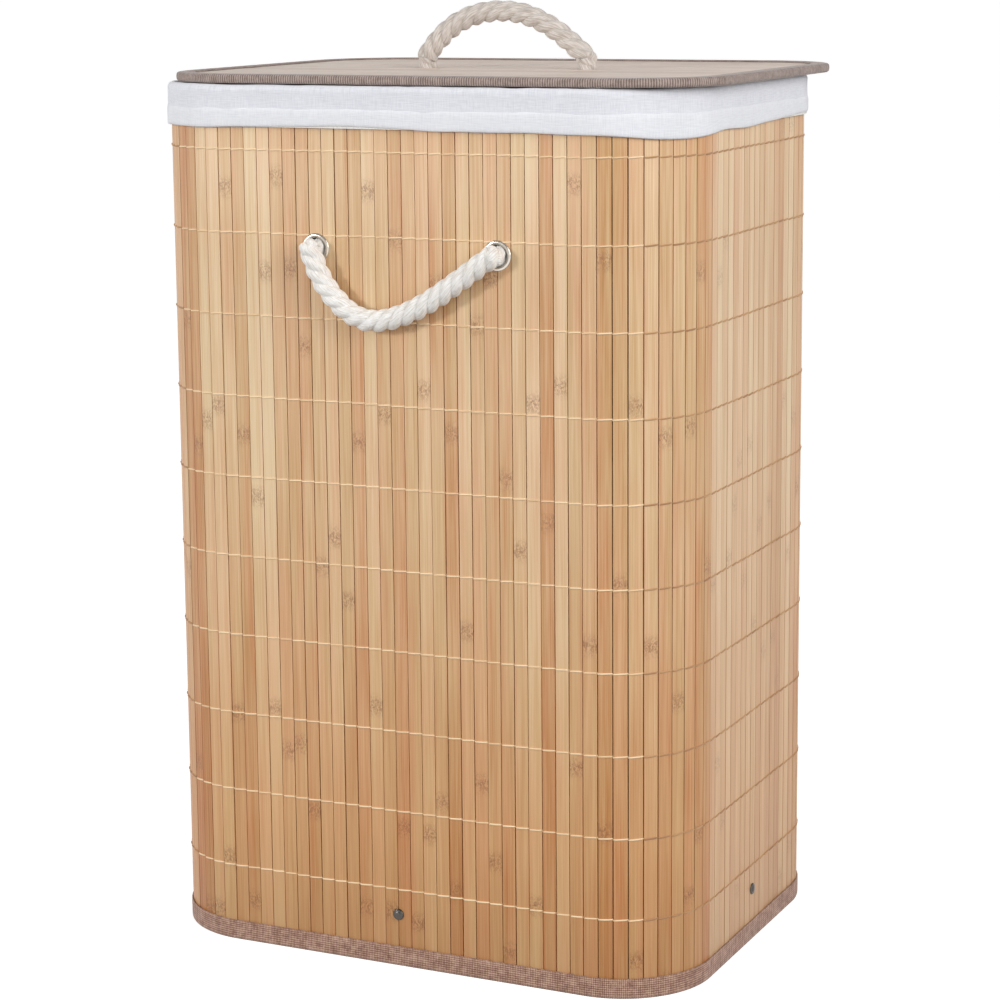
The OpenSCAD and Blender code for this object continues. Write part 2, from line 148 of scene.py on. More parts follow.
# White all round at the height of the hamper, greyer overhead and below.
sky = bpy.data.worlds.new("white_studio")
sky.use_nodes = True
toward = add_node(sky, "ShaderNodeTexCoord", {}).outputs["Generated"]
rise = add_node(sky, "ShaderNodeSeparateXYZ", {0: toward}).outputs[2]
share = add_node(sky, "ShaderNodeMapRange", {"Value": rise, "From Min": -1.0, "From Max": 1.0})
glow = add_node(sky, "ShaderNodeValToRGB", {0: share.outputs[0]}, [
    (0.40, "#707070"), (0.47, "#FFFFFF"), (0.60, "#FFFFFF"), (0.70, "#A2A2A2"),
])
link(sky, glow.outputs[0], sky.node_tree.nodes["Background"].inputs["Color"])
sky.node_tree.nodes["Background"].inputs["Strength"].default_value = 1.0
bpy.context.scene.world = sky


def soft_box(name, place, aim, side, power):
    """A square soft light that faces a point."""
    lamp = bpy.data.lights.new(name, "AREA")
    lamp.shape = "SQUARE"
    lamp.size = side
    lamp.energy = power
    holder = bpy.data.objects.new(name, lamp)
    holder.location = place
    holder.rotation_euler = (Vector(aim) - Vector(place)).to_track_quat("-Z", "Y").to_euler()
    bpy.context.scene.collection.objects.link(holder)


soft_box("front_left_box", (-2.5, -3.7, 1.4), (0, -0.1, 0.35), 0.7, 71)
soft_box("left_box", (-2.6, -0.7, 1), (-0.2, 0, 0.35), 0.9, 9)
soft_box("right_box", (2.5, -1.1, 1.5), (0.2, 0, 0.35), 1.6, 48)


# Carrying ropes and lid rope: soft three-strand cotton rope, left-hand laid. Each end turns
# into its eyelet or leg hole and is knotted behind it, so a loop swings about its two ends.
rope_girth = 14.5 * mm
rope_radius = rope_girth / 2 * 1.05
rope_lay = 31 * mm
route_step = 1.3 * mm
hanging_span = 135 * mm
standing_span = 124 * mm
# Middle lines, as shares of the span and rises in millimetres.
hanging_route = [
    (0, 0), (0.02, -7), (0.045, -15), (0.09, -25), (0.15, -34), (0.215, -41), (0.295, -45.5),
    (0.38, -46), (0.465, -43.5), (0.57, -38), (0.69, -29), (0.81, -18), (0.91, -8.5), (1, 0),
]
standing_route = [
    (0, 0), (0.02, 4.5), (0.055, 9.5), (0.12, 17.5), (0.21, 25), (0.33, 30.5), (0.46, 32.5),
    (0.59, 31), (0.71, 26), (0.82, 18.5), (0.91, 10), (0.96, 5), (1, 0),
]


def bend_grid(name, across, along, size, place):
    """A flat grid, size (u, v) in metres, whose points are put in place; edges that meet join."""
    deselect()
    bpy.ops.mesh.primitive_grid_add(x_subdivisions=across, y_subdivisions=along, size=1)
    piece = bpy.context.object
    piece.name = name
    for point in piece.data.vertices:
        i = round((point.co.x + 0.5) * across)
        j = round((point.co.y + 0.5) * along)
        point.co = place(i, j)
    for corner in piece.data.uv_layers.active.data:
        corner.uv = (corner.uv.x * size[0], corner.uv.y * size[1])
    bpy.ops.object.mode_set(mode="EDIT")
    bpy.ops.mesh.select_all(action="SELECT")
    bpy.ops.mesh.remove_doubles(threshold=0.002 * mm)
    bpy.ops.mesh.normals_make_consistent(inside=False)
    bpy.ops.object.mode_set(mode="OBJECT")
    bpy.ops.object.shade_smooth()
    return piece


def smooth_line(points, step):
    """Points about a step apart on one smooth curve through the given points."""
    reach = [2 * points[0] - points[1], *points, 2 * points[-1] - points[-2]]
    fine = [points[0]]
    for a, b, c, d in zip(reach, reach[1:], reach[2:], reach[3:]):
        fine += geometry.interpolate_bezier(b, b + (c - a) / 6, c - (d - b) / 6, c, 24)[1:]
    runs = [0]
    for a, b in zip(fine, fine[1:]):
        runs.append(runs[-1] + (b - a).length)
    count = round(runs[-1] / step)
    line, k = [], 0
    for n in range(count + 1):
        run = runs[-1] * n / count
        while k < len(runs) - 2 and runs[k + 1] < run:
            k += 1
        line.append(fine[k].lerp(fine[k + 1], (run - runs[k]) / (runs[k + 1] - runs[k])))
    return line


def strand_bulge(turn):
    """How far out a rope of three strands reaches, as a share of its radius."""
    swing = math.radians(120) * ((turn * 3) % 1 - 0.5)
    middle, strand = 0.34, 0.66
    return middle * math.cos(swing) + math.sqrt(strand ** 2 - (middle * math.sin(swing)) ** 2)


def lay_rope(name, line, radius, start_way, end_way, sides=45):
    """Three twisted strands along a line; each end turns about the line's end point into a
    given direction and closes as half a ball. Returns the rope and its length."""
    rings = []
    elbow, cap = 8, 6
    first, last = (line[1] - line[0]).normalized(), (line[-1] - line[-2]).normalized()
    for k in range(cap):
        tilt = math.radians(90) * (1 - k / cap)
        rings.append((line[0] - start_way * radius * math.sin(tilt), start_way, math.cos(tilt)))
    for k in range(elbow):
        rings.append((line[0], start_way.lerp(first, k / elbow).normalized(), 1))
    for n, point in enumerate(line):
        way = line[min(n + 1, len(line) - 1)] - line[max(n - 1, 0)]
        rings.append((point, way.normalized(), 1))
    for k in range(1, elbow + 1):
        rings.append((line[-1], last.lerp(end_way, k / elbow).normalized(), 1))
    for k in range(1, cap + 1):
        tilt = math.radians(90) * k / cap
        rings.append((line[-1] + end_way * radius * math.sin(tilt), end_way, math.cos(tilt)))
    side = rings[0][1].orthogonal().normalized()
    run, frames = 0, []
    for n, (point, way, share) in enumerate(rings):
        if n:
            before, way_before, _ = rings[n - 1]
            side = way_before.rotation_difference(way) @ side
            run += max((point - before).length, radius * 0.7 * way_before.angle(way))
        frames.append((point, way, side, way.cross(side), share, run))

    def place(i, j):
        point, way, side, up, share, run = frames[i]
        turn = j / sides
        angle = math.tau * (turn - run / rope_lay)
        puff = 1 + 0.02 * noise.noise(Vector((run / mm / 5, turn * 9, 3.7)))
        reach = radius * share * strand_bulge(turn) * puff
        return point + (side * math.cos(angle) + up * math.sin(angle)) * reach

    rope = bend_grid(name, len(frames) - 1, sides, (run, math.tau * radius), place)
    length = sum((b - a).length for a, b in zip(line, line[1:]))
    return rope, length


def rope_material(name, light, deep):
    """Cotton rope: soft and dull, with a downy edge where the light grazes it, and fine yarns
    0.9 mm apart that run along the rope."""
    cotton, shader = new_material(name, Roughness=0.95, Sheen_Weight=0.35, Sheen_Roughness=0.5)
    uv = add_node(cotton, "ShaderNodeUVMap", {})
    split = add_node(cotton, "ShaderNodeSeparateXYZ", {0: uv.outputs[0]})
    # The yarns turn against the strands, so that they lie along the rope.
    turned = add_node(cotton, "ShaderNodeMath", {
        0: split.outputs[0], 1: -math.tau * rope_girth / 2 / rope_lay * 0.85, 2: split.outputs[1],
    }, operation="MULTIPLY_ADD")
    lengthwise = add_node(cotton, "ShaderNodeMath", {0: split.outputs[0], 1: 0.12},
                          operation="MULTIPLY")
    along = add_node(cotton, "ShaderNodeCombineXYZ", {
        0: lengthwise.outputs[0], 1: turned.outputs[0], 2: 0.0,
    })
    yarns = add_node(cotton, "ShaderNodeTexNoise", {
        "Vector": along.outputs[0], "Scale": 1 / (0.9 * mm), "Detail": 3.0, "Roughness": 0.6,
    })
    place = add_node(cotton, "ShaderNodeTexCoord", {})
    fuzz = add_node(cotton, "ShaderNodeTexNoise", {
        "Vector": place.outputs["Object"], "Scale": 1 / (7 * mm), "Detail": 4.0,
    })
    both = add_node(cotton, "ShaderNodeMath", {
        0: fuzz.outputs[0], 1: 0.25, 2: yarns.outputs[0],
    }, operation="MULTIPLY_ADD")
    tint = add_node(cotton, "ShaderNodeValToRGB", {0: both.outputs[0]},
                    [(0.47, deep), (0.72, light)])
    link(cotton, tint.outputs[0], shader.inputs["Base Color"])
    bump = add_node(cotton, "ShaderNodeBump", {
        "Height": both.outputs[0], "Strength": 0.9, "Distance": 0.9 * mm,
    })
    link(cotton, bump.outputs[0], shader.inputs["Normal"])
    return cotton


def joint_place(name):
    """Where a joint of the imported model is."""
    return Vector(next(joint["pos_m"] for joint in frame["joints"] if joint["name"] == name))


white_rope = rope_material("bleached_cotton_rope", "#FFFEFB", "#E0D9D0")
carrying = {}
for wall, facing in (("front", 1), ("back", -1)):
    pivot = joint_place(wall + "_handle_swing")
    line = smooth_line([
        pivot + Vector(((share - 0.5) * hanging_span * facing, 0, rise * mm))
        for share, rise in hanging_route
    ], route_step)
    outward = Vector((0, -facing, 0))
    rope, length = lay_rope(wall + "_carrying_rope", line, rope_radius, outward, -outward)
    rope.data.materials.append(white_rope)
    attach(rope, wall + "_handle")
    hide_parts(wall + "_rope")
    carrying[wall] = line

pivot = joint_place("lid_handle_tilt")
line = smooth_line([
    pivot + Vector(((share - 0.5) * standing_span, 0, rise * mm)) for share, rise in standing_route
], route_step)
upward = Vector((0, 0, 1))
lid_rope, length = lay_rope("lid_rope_loop", line, rope_radius, upward, -upward)
# The lid's rope is the same cotton rope as the carrying ropes, drawn darker and creamier as
# painted shade.
lid_rope_painted_shade = rope_material("cotton_rope_painted_shade", "#DED6CF", "#AFA398")
lid_rope.data.materials.append(lid_rope_painted_shade)
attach(lid_rope, "lid_handle")
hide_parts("lid_rope")


# Knotted rope ends: behind each eyelet and under the lid the rope is tied in a tight round
# knot. Its stub fills the lower part of the hole and meets the loop just outside.
stub_radius = 6.85 * mm
stub_drop = 0.15 * mm
knot_reach = 6.2 * mm
knot_strand = 4.6 * mm
wall_knot_depth, wall_mouth = 18.5 * mm, 9 * mm
lid_knot_depth, lid_mouth = 14.3 * mm, 3 * mm


def knot_line(middle, way, reach):
    """The middle line of an overhand knot that is pulled tight round a middle point."""
    side = way.orthogonal().normalized()
    up = way.cross(side)
    steps = 90
    line = []
    for n in range(steps + 1):
        turn = math.tau * n / steps
        wide = math.cos(2 * turn)
        across = (1 + 0.5 * math.cos(3 * turn)) * reach
        line.append(
            middle
            + side * across * wide
            + up * across * math.sin(2 * turn)
            + way * reach * 0.75 * math.sin(3 * turn)
        )
    return line


def join_all(parts, name):
    """Joins pieces into one, under one name."""
    deselect()
    for part in parts:
        part.select_set(True)
    bpy.context.view_layer.objects.active = parts[0]
    if len(parts) > 1:
        bpy.ops.object.join()
    parts[0].name = name
    return parts[0]


def tie_knot(name, hole, into, depth, mouth, sag):
    """A knot at a depth behind a hole's mouth, and the stub that fills the hole."""
    middle = hole + into * depth
    outer = hole - into * mouth + sag
    stub_line = [outer.lerp(middle, n / 20) for n in range(21)]
    stub, _ = lay_rope(name, stub_line, stub_radius, into, into, 30)
    coil, _ = lay_rope(name + "_coil", knot_line(middle, into, knot_reach), knot_strand,
                       into, into, 24)
    return join_all([stub, coil], name)


for wall, facing in (("front", 1), ("back", -1)):
    into = Vector((0, facing, 0))
    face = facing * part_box("front_slats")[0].y
    knots = []
    for end in (carrying[wall][0], carrying[wall][-1]):
        hole = Vector((end.x, face, end.z))
        knots.append(tie_knot(wall + "_knot", hole, into, wall_knot_depth, wall_mouth,
                              -upward * stub_drop))
    knotted = join_all(knots, wall + "_rope_ends")
    knotted.data.materials.append(white_rope)
    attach(knotted, "hamper")
    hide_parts(wall + "_knots")

lid_floor_z, lid_top_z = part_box("lid_lining")[0].z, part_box("lid_slats")[1].z
knots = []
for end in (line[0], line[-1]):
    hole = Vector((end.x, end.y, lid_top_z))
    knots.append(tie_knot("lid_knot", hole, -upward, lid_top_z - lid_floor_z + lid_knot_depth,
                          lid_mouth, Vector()))
lid_knotted = join_all(knots, "lid_rope_ends")
lid_knotted.data.materials.append(lid_rope_painted_shade)
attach(lid_knotted, "lid")
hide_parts("lid_knots")


# Bamboo slats of the wall: split strips about 9 mm wide with softly rounded edges, each from
# another cane, so that colour, grain and the scars of the cane's joints differ. They are
# glued side by side to the backing cloth and woven together with thread.
wall_width, wall_depth, corner_radius = 400 * mm, 300 * mm, 65 * mm
slat_bottom, slat_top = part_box("front_slats")[0].z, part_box("front_slats")[1].z
slat_thickness = 2 * mm
slat_gap = 0.7 * mm
slat_crown = 0.16 * mm
slat_edge = 0.55 * mm
corner_slats = 10
front_slats, side_slats = 27, 17
chance = random.Random(11)


def wall_spots():
    """Each slat of the wall: the wall's name, its width, and where it stands, as a matrix that
    takes a slat at the origin, facing -Y, to its place."""
    flat = wall_width - 2 * corner_radius
    side_flat = wall_depth - 2 * corner_radius
    spots = []
    for name, turn, count, length, off in (
        ("front", 0, front_slats, flat, wall_depth / 2),
        ("right", 90, side_slats, side_flat, wall_width / 2),
        ("back", 180, front_slats, flat, wall_depth / 2),
        ("left", 270, side_slats, side_flat, wall_width / 2),
    ):
        way = Matrix.Rotation(math.radians(turn), 4, "Z")
        for i in range(count):
            step = length / count
            spots.append((name, step, way @ Matrix.Translation(
                ((i + 0.5) * step - length / 2, -off, 0))))
        ahead = way.to_3x3() @ Vector((1, -1, 0))
        centre = Vector((math.copysign(flat / 2, ahead.x),
                         math.copysign(side_flat / 2, ahead.y), 0))
        for i in range(corner_slats):
            bend = math.radians(turn + 90 * (i + 0.5) / corner_slats)
            spots.append(("corner", corner_radius * math.radians(90) / corner_slats,
                          Matrix.Translation(centre) @ Matrix.Rotation(bend, 4, "Z")
                          @ Matrix.Translation((0, -corner_radius, 0))))
    return spots


def own_copy(piece):
    """A copy with its own mesh."""
    copy = piece.copy()
    copy.data = piece.data.copy()
    bpy.context.scene.collection.objects.link(copy)
    return copy


def select_points(piece, wanted):
    """In edit mode, selects the points whose place passes a test."""
    bpy.ops.object.mode_set(mode="OBJECT")
    for group in (piece.data.polygons, piece.data.edges, piece.data.vertices):
        group.foreach_set("select", [False] * len(group))
    for point in piece.data.vertices:
        point.select = wanted(point.co)
    bpy.ops.object.mode_set(mode="EDIT")


def plane_strip(name, width, thickness, bottom, top, rings):
    """One slat at the origin, upright, with its face at y = 0: edges rounded, face crowned."""
    deselect()
    bpy.ops.mesh.primitive_cube_add(
        size=1, location=(0, thickness / 2, (bottom + top) / 2),
        scale=(width, thickness, top - bottom))
    bpy.ops.object.transform_apply(location=True, rotation=True, scale=True)
    strip = bpy.context.object
    strip.name = name
    bpy.ops.object.mode_set(mode="EDIT")
    bpy.ops.mesh.select_mode(type="VERT")
    select_points(strip, lambda place: place.y < thickness / 2)
    bpy.ops.mesh.bevel(offset=slat_edge, segments=2, affect="EDGES")
    bpy.ops.mesh.select_all(action="SELECT")
    bpy.ops.mesh.bisect(plane_co=(0, 0, 0), plane_no=(1, 0, 0))
    for k in range(1, rings):
        bpy.ops.mesh.select_all(action="SELECT")
        bpy.ops.mesh.bisect(plane_co=(0, 0, bottom + (top - bottom) * k / rings),
                            plane_no=(0, 0, 1))
    select_points(strip, lambda place: abs(place.x) < 0.01 * mm and place.y < 0.1 * mm)
    bpy.ops.transform.translate(value=(0, -slat_crown, 0))
    bpy.ops.object.mode_set(mode="OBJECT")
    return strip


def mark_strip(piece, tone, joint, gap):
    """Stores a strip's own colour, the place of its first cane joint and their spacing."""
    marks = piece.data.attributes.new("strip", "FLOAT_VECTOR", "FACE")
    marks.data.foreach_set("vector", [tone, joint, gap] * len(piece.data.polygons))


def bamboo(name, lengthwise, stops, scars, painted_light_share=0, painted_light_tone="#FFFFFF"):
    """Varnished split bamboo, with a satin gloss: straw to toffee by the strip, with fine
    straight grain and speckled scars at the cane's joints. The axis `lengthwise` is the
    grain's. The last two arguments give the share and the tone of a pale layer over the
    whole piece, which is painted light on the side walls and a painted reflection on the
    lid. On an upright wall the colour is darkened towards the foot, as painted shade."""
    cane, shader = new_material(name, Roughness=0.46, Specular_IOR_Level=0.42)
    place = add_node(cane, "ShaderNodeTexCoord", {}).outputs["Object"]
    strip = add_node(cane, "ShaderNodeAttribute", {}, attribute_name="strip").outputs["Vector"]
    marks = add_node(cane, "ShaderNodeSeparateXYZ", {0: strip})
    tone, joint, gap = marks.outputs[0], marks.outputs[1], marks.outputs[2]
    shift = add_node(cane, "ShaderNodeVectorMath", {0: strip, 1: (3.1, 1.7, 2.3)},
                     operation="MULTIPLY")
    own = add_node(cane, "ShaderNodeVectorMath", {0: place, 1: shift.outputs[0]}, operation="ADD")

    # Noises in the strip's own coordinates, stretched to each pattern's width and length in
    # mm. Real fibres are finer than 0.7 mm, and would not show.
    grain = {}
    for pattern, across, long, settings in (
        ("fibre", 0.7, 70, {"Detail": 3.0, "Roughness": 0.65}),
        ("streak", 2.6, 130, {"Detail": 2.0}),
        ("drift", 40, 110, {"Detail": 2.0}),
        ("lean", 9, 170, {"Detail": 1.0}),
        ("speck", 1.5, 2.4, {"Detail": 1.5, "Distortion": 1.2}),
    ):
        scale = [1 / (across * mm)] * 3
        scale[lengthwise] = 1 / (long * mm)
        drawn = add_node(cane, "ShaderNodeVectorMath", {0: own.outputs[0], 1: scale},
                         operation="MULTIPLY")
        grain[pattern] = add_node(cane, "ShaderNodeTexNoise", {
            "Vector": drawn.outputs[0], "Scale": 1.0, **settings}).outputs[0]
    level = tone
    for pattern, amount in (("fibre", 0.95), ("streak", 0.7), ("drift", 0.5)):
        centred = add_node(cane, "ShaderNodeMath", {0: grain[pattern], 1: 0.5},
                           operation="SUBTRACT")
        level = add_node(cane, "ShaderNodeMath", {
            0: centred.outputs[0], 1: amount, 2: level}, operation="MULTIPLY_ADD").outputs[0]
    base = add_node(cane, "ShaderNodeValToRGB", {0: level}, stops).outputs[0]
    # Some canes lean to pink and some to green, in long stretches.
    hue = add_node(cane, "ShaderNodeValToRGB", {0: grain["lean"]},
                   [(0.36, "#CDB482"), (0.5, "#D2A87C"), (0.64, "#D99C76")])
    base = add_node(cane, "ShaderNodeMix", {0: 0.25, 6: base, 7: hue.outputs[0]},
                    data_type="RGBA", blend_type="MIX").outputs[2]
    # Joint scars: a band of dark specks, thick in its middle, at even steps along the cane.
    axis = add_node(cane, "ShaderNodeSeparateXYZ", {0: place}).outputs[lengthwise]
    from_joint = add_node(cane, "ShaderNodeMath", {0: axis, 1: joint}, operation="SUBTRACT")
    folded = add_node(cane, "ShaderNodeMath", {0: from_joint.outputs[0], 1: gap},
                      operation="PINGPONG")
    near = add_node(cane, "ShaderNodeMapRange", {
        "Value": folded.outputs[0], "From Min": 0.0, "From Max": 11 * mm, "To Min": 1.0,
        "To Max": 0.0}, interpolation_type="SMOOTHSTEP")
    spotted = add_node(cane, "ShaderNodeMapRange", {
        "Value": grain["speck"], "From Min": 0.38, "From Max": 0.66, "To Min": 0.0,
        "To Max": scars})
    scar = add_node(cane, "ShaderNodeMath", {0: near.outputs[0], 1: spotted.outputs[0]},
                    operation="MULTIPLY")
    base = add_node(cane, "ShaderNodeMix", {0: scar.outputs[0], 6: base, 7: paint("#8F6040")},
                    data_type="RGBA", blend_type="MIX").outputs[2]
    if lengthwise == 2:
        # Painted shade: the colour is darkened to a warmer brown towards the wall's foot, where
        # less light reaches it.
        low = add_node(cane, "ShaderNodeMapRange", {
            "Value": axis, "From Min": 0.04, "From Max": 0.4, "To Min": 1.0, "To Max": 0.0,
        }, interpolation_type="SMOOTHSTEP")
        base = add_node(cane, "ShaderNodeMix", {
            0: low.outputs[0], 6: base, 7: paint("#EDD8C1"),
        }, data_type="RGBA", blend_type="MULTIPLY").outputs[2]
    # A pale tone laid over the whole piece: painted light on the side walls, a painted reflection
    # on the lid.
    if painted_light_share:
        base = add_node(cane, "ShaderNodeMix", {0: painted_light_share, 6: base, 7: paint(painted_light_tone)},
                        data_type="RGBA", blend_type="MIX").outputs[2]
    link(cane, base, shader.inputs["Base Color"])
    ridge = add_node(cane, "ShaderNodeMath", {
        0: scar.outputs[0], 1: 1.5, 2: grain["fibre"]}, operation="MULTIPLY_ADD")
    bump = add_node(cane, "ShaderNodeBump", {
        "Height": ridge.outputs[0], "Strength": 0.35, "Distance": 0.25 * mm})
    link(cane, bump.outputs[0], shader.inputs["Normal"])
    return cane


wall_tones = [
    (0.0, "#EBD0AB"), (0.25, "#DEBB92"), (0.5, "#D0A67B"), (0.75, "#BF8450"), (1.0, "#9A5C28"),
]
wall_bamboo = bamboo("varnished_bamboo", 2, wall_tones, 0.7)
# The side walls get a copy of the wall's bamboo drawn paler all over: painted light, for the
# stronger light on the side walls.
side_bamboo = bamboo("side_bamboo_painted_light", 2, wall_tones, 0.5, 0.18, "#DECBB0")
spots = wall_spots()
slat = plane_strip("wall_slat", 1, slat_thickness, slat_bottom, slat_top, 6)
slats = {}
for wall, step, spot in spots:
    copy = own_copy(slat)
    width = step - slat_gap * chance.uniform(0.6, 1.2)
    sway = chance.uniform(0, 99)
    depth = chance.uniform(-0.18, 0.12) * mm
    for point in copy.data.vertices:
        point.co.x *= width
        point.co.x += 0.22 * mm * noise.noise(Vector((sway, point.co.z * 5, 0)))
        point.co.y += depth
    copy.data.transform(spot)
    tone = chance.triangular(0.03, 0.8, 0.25)
    mark_strip(copy, tone, chance.uniform(0, 0.33), chance.uniform(0.15, 0.21))
    slats.setdefault(wall, []).append(copy)
bpy.data.objects.remove(slat)
wall_pieces = {wall: join_all(parts, wall + "_wall_slats") for wall, parts in slats.items()}


def carve(piece, tool, operation):
    """Cuts a piece with a solid tool, or keeps only what lies in it; the tool is used up."""
    select_only(piece)
    cut = piece.modifiers.new("cut", "BOOLEAN")
    cut.operation = operation
    cut.solver = "EXACT"
    cut.object = tool
    bpy.ops.object.modifier_apply(modifier="cut")
    bpy.data.objects.remove(tool)


def drill(piece, cutters):
    """Cuts round holes through a piece: (place, direction, radius, length) each."""
    deselect()
    drills = []
    for place, way, radius, length in cutters:
        bpy.ops.mesh.primitive_cylinder_add(
            vertices=48, radius=radius, depth=length, location=place,
            rotation=Vector(way).to_track_quat("Z", "Y").to_euler())
        drills.append(bpy.context.object)
    carve(piece, join_all(drills, "drill"), "DIFFERENCE")


hole_radius = 7 * mm
eyelet_room = 0.9 * mm
drill_length = 12 * mm
for wall, facing in (("front", 1), ("back", -1)):
    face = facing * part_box("front_slats")[0].y
    drill(wall_pieces[wall], [
        ((end.x, face, end.z), (0, 1, 0), hole_radius + eyelet_room, drill_length)
        for end in (carrying[wall][0], carrying[wall][-1])
    ])
slat_smooth_angle = math.radians(50)
for wall, piece in wall_pieces.items():
    piece.data.materials.append(side_bamboo if wall in ("left", "right") else wall_bamboo)
    select_only(piece)
    bpy.ops.object.shade_smooth_by_angle(angle=slat_smooth_angle)
    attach(piece, "hamper")
    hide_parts(wall + "_slats")


# Weaving thread: ten rows of thick cotton thread pass over every slat and dip between them,
# cream all round, and drawn tan near the side walls as painted shade. A stitch is shaped
# once for each width of slat, in mm, and copied up and round the wall.
thread_rows, first_row, row_gap = 10, 55 * mm, 56.6 * mm
thread_radius = 0.48
thread_climb = 0.35


def stitch_column(name, width):
    """One slat's ten stitches: a short arched thread over the slat at each row."""
    sides, pieces = 6, 6

    def place(i, j):
        t = min(max(i - 1, 0), pieces) / pieces * 2 - 1
        swell = 0 if i in (0, pieces + 2) else 1 - 0.15 * t * t
        angle = math.tau * j / sides
        out = 0.42 - 0.95 * abs(t) ** 5 + thread_radius * swell * math.cos(angle)
        high = 0.66 * swell * math.sin(angle) + thread_climb * t
        return Vector((t * width / 2, -out * mm, first_row + high * mm))

    column = [bend_grid(name, pieces + 2, sides, (width, math.tau * thread_radius * mm), place)]
    for row in range(1, thread_rows):
        higher = own_copy(column[0])
        higher.data.transform(Matrix.Translation((0, 0, row * row_gap)))
        column.append(higher)
    return join_all(column, name)


painted_shade_from_side = 25 * mm
stitches = []
columns = {step: stitch_column("stitches", step) for step in sorted({s[1] for s in spots})}
for wall, step, spot in spots:
    copy = own_copy(columns[step])
    tone_and_painted_shade = copy.data.attributes.new("tone", "FLOAT", "FACE")
    per_stitch = len(copy.data.polygons) // thread_rows
    middle = spot.to_translation()
    # Painted shade: stitches near the side walls are pushed to the tan end of the ramp.
    painted_side_shade = 0.55 if abs(middle.x) > wall_width / 2 - painted_shade_from_side else 0.0
    for row in range(thread_rows):
        shade = chance.triangular(0, 0.4, 0.05) + painted_side_shade
        for face in range(row * per_stitch, (row + 1) * per_stitch):
            tone_and_painted_shade.data[face].value = shade
    for point in copy.data.vertices:
        wander = noise.noise(Vector((middle.x * 20, middle.y * 20, point.co.z * 9)))
        point.co.z += 0.5 * mm * wander
    copy.data.transform(spot)
    stitches.append(copy)
for column in columns.values():
    bpy.data.objects.remove(column)
weave = join_all(stitches, "row_stitches")
# Spun cotton: dull, with a faint down, and each stitch a little lighter or darker at random;
# the tan end of the ramp is painted shade, on the stitches near the side walls.
thread_cotton, shader = new_material("cotton_thread", Roughness=0.85, Sheen_Weight=0.2)
stitch_tone_and_shade = add_node(thread_cotton, "ShaderNodeAttribute", {}, attribute_name="tone")
tint = add_node(thread_cotton, "ShaderNodeValToRGB", {0: stitch_tone_and_shade.outputs["Fac"]}, [
    (0.0, "#F8DFB8"), (0.35, "#E8C69B"), (0.6, "#BE9468"), (1.0, "#A07350"),
])
link(thread_cotton, tint.outputs[0], shader.inputs["Base Color"])
weave.data.materials.append(thread_cotton)
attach(weave, "hamper")
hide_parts("weave_threads")


# Binding tapes: ribbed woven tape in taupe is folded round the foot of the wall and round the
# lid's edge, and sewn through. The ribs stand across the tape.
rib_pitch = 1.75 * mm


def outline(width, depth, corner, steps, centre=(0, 0)):
    """Even steps round a rounded rectangle from the middle of its back: (place, way out)."""
    flat, side, bend = width / 2 - corner, depth / 2 - corner, corner * math.pi / 2
    whole = 4 * (flat + side + bend)
    spot, heading = Vector((centre[0], centre[1] + depth / 2, 0)), math.pi
    found, run = [], 0
    for leg, curved in ((flat, 0), (bend, 1), (2 * side, 0), (bend, 1), (2 * flat, 0),
                        (bend, 1), (2 * side, 0), (bend, 1), (flat, 0)):
        ahead = Vector((math.cos(heading), math.sin(heading), 0))
        out = Vector((ahead.y, -ahead.x, 0))
        pivot = spot - out * corner
        while len(found) < steps and whole * len(found) / steps < run + leg - 1e-9:
            go = whole * len(found) / steps - run
            if curved:
                way = Matrix.Rotation(go / corner, 3, "Z") @ out
                found.append((pivot + way * corner, way))
            else:
                found.append((spot + ahead * go, out))
        if curved:
            spot = pivot + Matrix.Rotation(math.pi / 2, 3, "Z") @ out * corner
            heading += math.pi / 2
        else:
            spot = spot + ahead * leg
        run += leg
    return found


def bind(name, edge, section, rib, pitch):
    """A tape along an edge, with ribs of a height in mm at a pitch in metres; its closed
    section is given in mm as (out, height)."""
    ways = []
    for k in range(len(section)):
        before, after = section[k - 1], section[(k + 1) % len(section)]
        ways.append(Vector((after[0] - before[0], after[1] - before[1])).normalized())
    steps = len(edge)

    def place(i, j):
        point, out = edge[i % steps]
        k = j % len(section)
        lift = rib if i % 2 else 0
        return (point + out * (section[k][0] + ways[k].y * -lift) * mm
                + Vector((0, 0, (section[k][1] + ways[k].x * lift) * mm)))

    round_section = sum(math.dist(a, b) for a, b in zip(section, section[1:] + section[:1]))
    return bend_grid(name, steps, len(section),
                     (pitch * steps / 2, round_section * mm), place)


